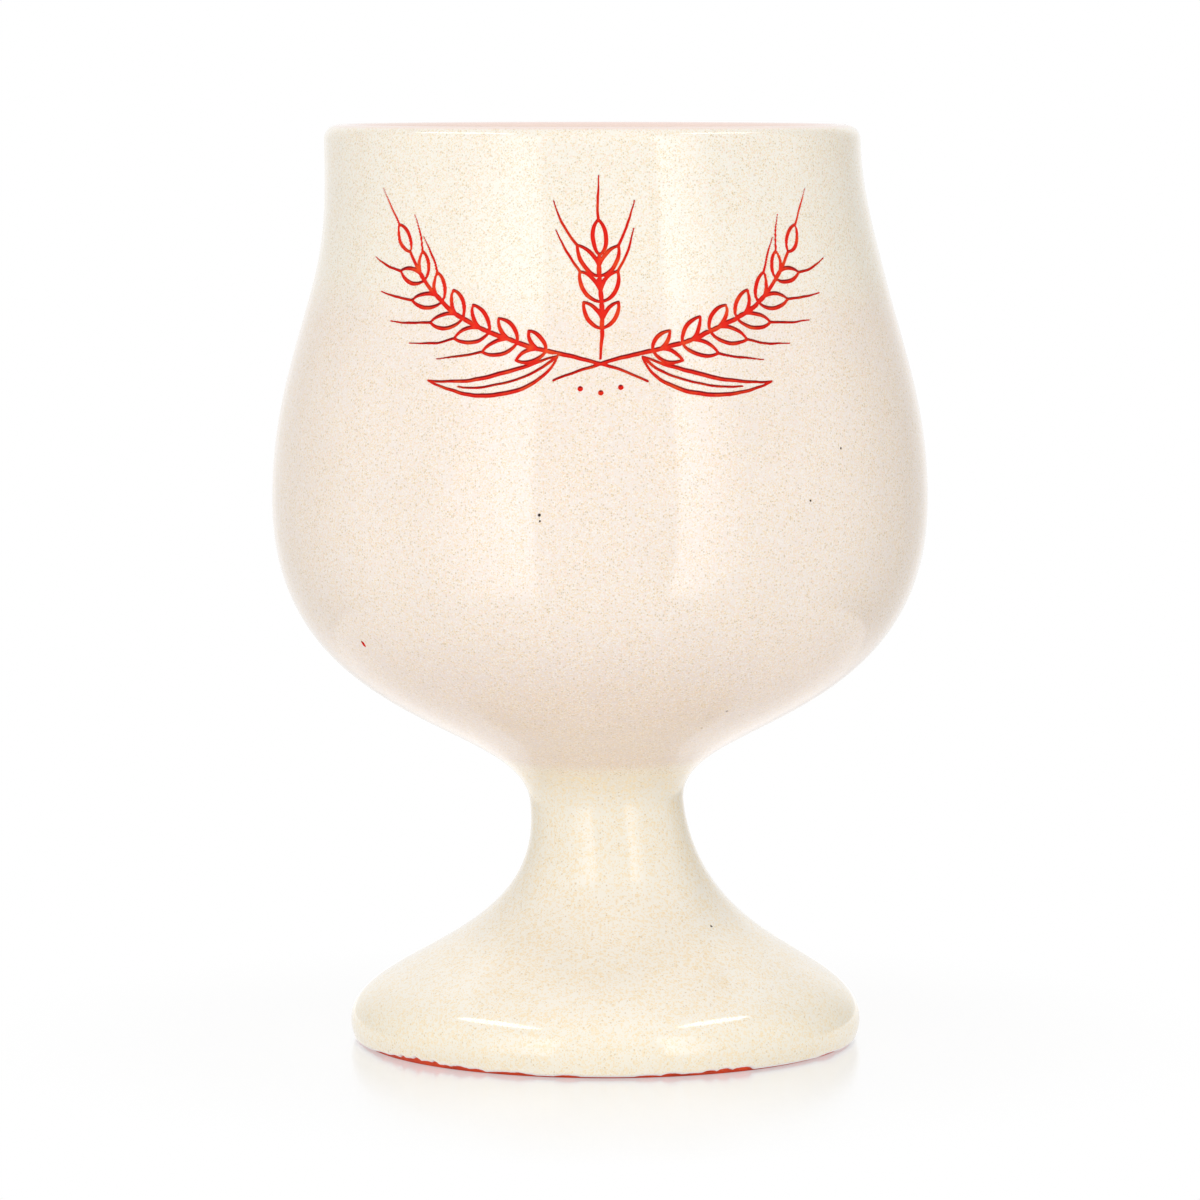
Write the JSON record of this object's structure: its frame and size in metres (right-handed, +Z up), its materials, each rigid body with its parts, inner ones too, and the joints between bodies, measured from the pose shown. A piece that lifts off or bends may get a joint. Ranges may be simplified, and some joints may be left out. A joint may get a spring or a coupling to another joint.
{
  "type": "ceramic beer goblet",
  "caption": "Hand-thrown footed beer goblet in red earthenware: a round bowl luted with slip to a flared hollow pedestal, under a pale speckled glaze that stops just above the table.",
  "frame": {"origin": "on the table, under the middle of the bowl's widest part", "axes": "+Z up through the mouth of the bowl, -Y towards the decorated front, +X to the right of that front"},
  "size_m": [0.1036, 0.1036, 0.145],
  "materials": {
    "red_clay": "bare fired red earthenware",
    "red_slip": "fired slip",
    "bowl_glaze": "glossy speckled cream glaze",
    "liner_glaze": "glossy cream liner glaze",
    "pedestal_glaze": "glossy speckled cream glaze"
  },
  "bodies": {
    "root": {"pedestal": "red_clay", "slip_joint": "red_slip", "pedestal_glaze": "pedestal_glaze", "bowl": "red_clay", "bowl_glaze": "bowl_glaze", "liner_glaze": "liner_glaze"}
  },
  "joints": []
}
